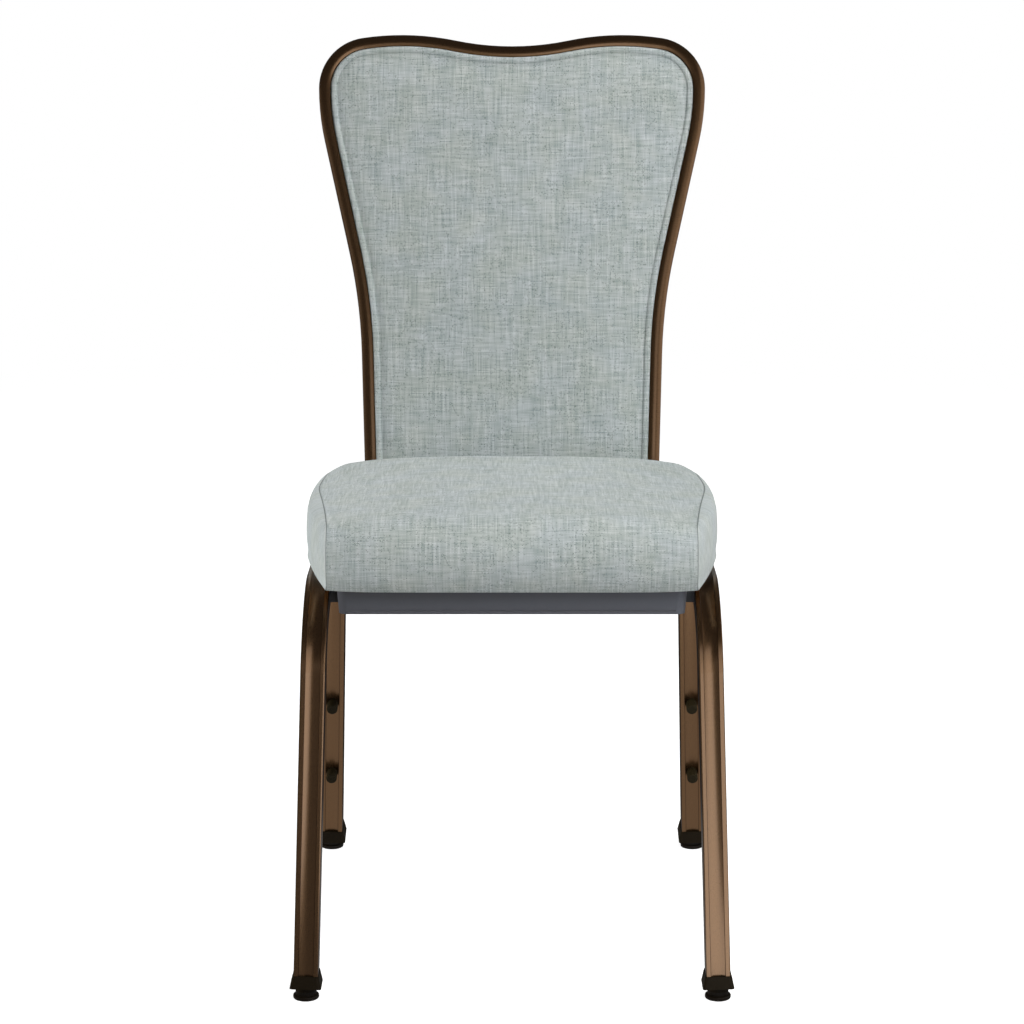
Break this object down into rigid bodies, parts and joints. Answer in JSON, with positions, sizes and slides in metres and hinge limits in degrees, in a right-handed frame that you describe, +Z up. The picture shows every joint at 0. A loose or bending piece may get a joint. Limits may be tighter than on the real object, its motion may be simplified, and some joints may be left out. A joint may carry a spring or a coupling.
{
  "type": "banquet chair",
  "caption": "Stacking banquet chair with bent extruded legs, crowned upholstered seat and a padded loop back with a dipped top rail on sprung flex bars.",
  "frame": {"origin": "on the floor, below the middle of the chair's overall box", "axes": "+Z up, front of the chair towards -Y, the sitter's left-hand side towards +X as seen from the front"},
  "size_m": [0.4342, 0.5413, 0.8999],
  "materials": {
    "bronze_aluminium": "bronze-brown anodised aluminium extrusion, satin",
    "boot_plastic": "near-black brown moulded nylon",
    "glide_plastic": "black-brown moulded nylon, smooth",
    "bumper_rubber": "dark moulded rubber",
    "dark_steel": "black powder-coated steel",
    "spring_steel": "black phosphated spring steel",
    "zinc_steel": "zinc-plated steel",
    "plywood": "bare birch plywood",
    "seat_fabric": "pale blue-grey linen-look slub weave over foam",
    "back_fabric": "pale blue-grey linen-look slub weave over thin foam",
    "pan_plastic": "dark grey moulded polypropylene, fine grain"
  },
  "bodies": {
    "frame": {"left_side_frame": "bronze_aluminium", "right_side_frame": "bronze_aluminium", "front_left_boot": "boot_plastic", "rear_left_boot": "boot_plastic", "front_right_boot": "boot_plastic", "rear_right_boot": "boot_plastic", "upper_left_stack_bumper": "bumper_rubber", "lower_left_stack_bumper": "bumper_rubber", "upper_right_stack_bumper": "bumper_rubber", "lower_right_stack_bumper": "bumper_rubber", "front_cross_tube": "dark_steel", "middle_cross_tube": "dark_steel", "rear_cross_tube": "dark_steel", "seat_brackets": "dark_steel", "left_flex_bar": "spring_steel", "right_flex_bar": "spring_steel", "seat_screws": "zinc_steel", "pan_screws": "zinc_steel", "flex_bolts": "zinc_steel", "flex_nuts": "zinc_steel", "seat_board": "plywood", "seat_cushion": "seat_fabric", "seat_pan": "pan_plastic"},
    "back": {"back_frame": "bronze_aluminium", "back_board": "plywood", "back_pad": "back_fabric", "back_cover": "back_fabric", "back_screws": "zinc_steel"},
    "front_left_glide": {"front_left_glide": "glide_plastic"},
    "rear_left_glide": {"rear_left_glide": "glide_plastic"},
    "front_right_glide": {"front_right_glide": "glide_plastic"},
    "rear_right_glide": {"rear_right_glide": "glide_plastic"}
  },
  "joints": [
    {"name": "back_flex", "type": "hinge", "parent": "frame", "child": "back", "pos_m": [0, 0.1229, 0.42982], "axis": [-1, 0, 0], "range_deg": [0, 10], "stiffness_Nm_per_rad": 400, "deforming": ["left_flex_bar", "right_flex_bar"]},
    {"name": "front_left_swivel", "type": "hinge", "parent": "frame", "child": "front_left_glide", "pos_m": [-0.20171, -0.2447, 0], "axis": [0, 0, 1], "continuous": true},
    {"name": "rear_left_swivel", "type": "hinge", "parent": "frame", "child": "rear_left_glide", "pos_m": [-0.20171, 0.22096, 0], "axis": [0, 0, 1], "continuous": true},
    {"name": "front_right_swivel", "type": "hinge", "parent": "frame", "child": "front_right_glide", "pos_m": [0.20171, -0.2447, 0], "axis": [0, 0, 1], "continuous": true},
    {"name": "rear_right_swivel", "type": "hinge", "parent": "frame", "child": "rear_right_glide", "pos_m": [0.20171, 0.22096, 0], "axis": [0, 0, 1], "continuous": true}
  ]
}
